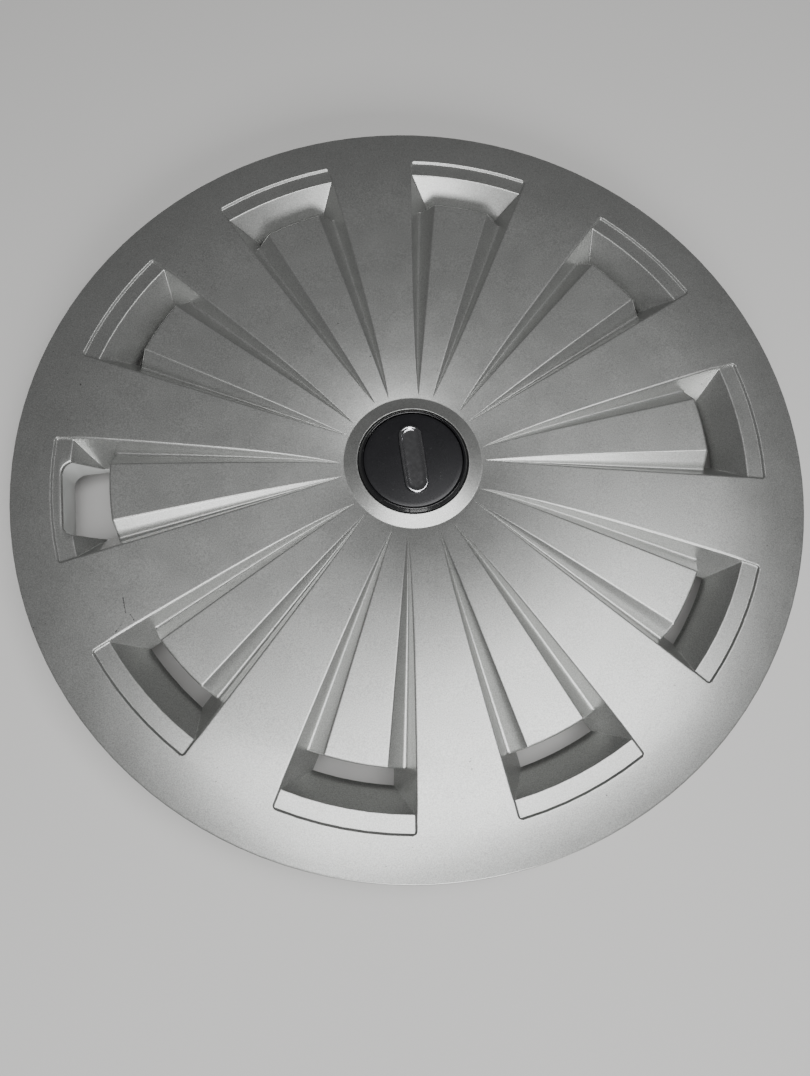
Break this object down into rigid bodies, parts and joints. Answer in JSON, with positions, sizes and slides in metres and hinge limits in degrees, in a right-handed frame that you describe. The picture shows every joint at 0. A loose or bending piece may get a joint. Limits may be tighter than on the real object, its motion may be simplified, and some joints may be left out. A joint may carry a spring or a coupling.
{
  "type": "wheel cover",
  "caption": "Round push-fit cover for a 16 inch steel wheel, with tapered sunk pockets, a valve opening, sprung clips with a wire ring, and a pull-out centre cap.",
  "frame": {"origin": "on the cover's axis at the level of the tower feet that the cover stands on when it lies face up", "axes": "+Z along the wheel's axis, out of the visible face; -X through the valve opening"},
  "size_m": [0.432, 0.432, 0.0416],
  "materials": {
    "silver_paint": "fine metallic silver paint with a satin clear coat on moulded plastic",
    "black_nylon": "moulded black nylon",
    "spring_steel": "drawn spring wire",
    "gloss_black": "polished black",
    "satin_black": "satin, slightly metallic",
    "dark_chrome": "dark bright plating"
  },
  "bodies": {
    "root": {"cover_disc": "silver_paint", "spring_wire": "spring_steel"},
    "clip_01": {"clip_01": "black_nylon"},
    "clip_02": {"clip_02": "black_nylon"},
    "clip_03": {"clip_03": "black_nylon"},
    "clip_04": {"clip_04": "black_nylon"},
    "clip_05": {"clip_05": "black_nylon"},
    "clip_06": {"clip_06": "black_nylon"},
    "clip_07": {"clip_07": "black_nylon"},
    "clip_08": {"clip_08": "black_nylon"},
    "clip_09": {"clip_09": "black_nylon"},
    "clip_10": {"clip_10": "black_nylon"},
    "cap": {"centre_cap": "gloss_black", "cap_insert": "satin_black", "cap_spring_ring": "spring_steel", "cap_emblem": "dark_chrome"}
  },
  "joints": [
    {"name": "clip_01_flex", "type": "hinge", "parent": "root", "child": "clip_01", "pos_m": [0.17547, 0.05701, 0.032], "axis": [-0.309, 0.9511, 0], "range_deg": [0, 6], "stiffness_Nm_per_rad": 10, "deforming": ["spring_wire"]},
    {"name": "clip_02_flex", "type": "hinge", "parent": "root", "child": "clip_02", "pos_m": [0.10845, 0.14926, 0.032], "axis": [-0.809, 0.5878, 0], "range_deg": [0, 6], "stiffness_Nm_per_rad": 10, "deforming": ["spring_wire"]},
    {"name": "clip_03_flex", "type": "hinge", "parent": "root", "child": "clip_03", "pos_m": [0, 0.1845, 0.032], "axis": [-1, 0, 0], "range_deg": [0, 6], "stiffness_Nm_per_rad": 10, "deforming": ["spring_wire"]},
    {"name": "clip_04_flex", "type": "hinge", "parent": "root", "child": "clip_04", "pos_m": [-0.10845, 0.14926, 0.032], "axis": [-0.809, -0.5878, 0], "range_deg": [0, 6], "stiffness_Nm_per_rad": 10, "deforming": ["spring_wire"]},
    {"name": "clip_05_flex", "type": "hinge", "parent": "root", "child": "clip_05", "pos_m": [-0.17547, 0.05701, 0.032], "axis": [-0.309, -0.9511, 0], "range_deg": [0, 6], "stiffness_Nm_per_rad": 10, "deforming": ["spring_wire"]},
    {"name": "clip_06_flex", "type": "hinge", "parent": "root", "child": "clip_06", "pos_m": [-0.17547, -0.05701, 0.032], "axis": [0.309, -0.9511, 0], "range_deg": [0, 6], "stiffness_Nm_per_rad": 10, "deforming": ["spring_wire"]},
    {"name": "clip_07_flex", "type": "hinge", "parent": "root", "child": "clip_07", "pos_m": [-0.10845, -0.14926, 0.032], "axis": [0.809, -0.5878, 0], "range_deg": [0, 6], "stiffness_Nm_per_rad": 10, "deforming": ["spring_wire"]},
    {"name": "clip_08_flex", "type": "hinge", "parent": "root", "child": "clip_08", "pos_m": [0, -0.1845, 0.032], "axis": [1, 0, 0], "range_deg": [0, 6], "stiffness_Nm_per_rad": 10, "deforming": ["spring_wire"]},
    {"name": "clip_09_flex", "type": "hinge", "parent": "root", "child": "clip_09", "pos_m": [0.10845, -0.14926, 0.032], "axis": [0.809, 0.5878, 0], "range_deg": [0, 6], "stiffness_Nm_per_rad": 10, "deforming": ["spring_wire"]},
    {"name": "clip_10_flex", "type": "hinge", "parent": "root", "child": "clip_10", "pos_m": [0.17547, -0.05701, 0.032], "axis": [0.309, 0.9511, 0], "range_deg": [0, 6], "stiffness_Nm_per_rad": 10, "deforming": ["spring_wire"]},
    {"name": "centre_cap_pull", "type": "slide", "parent": "root", "child": "cap", "axis": [0, 0, 1], "range_m": [0, 0.03]}
  ]
}
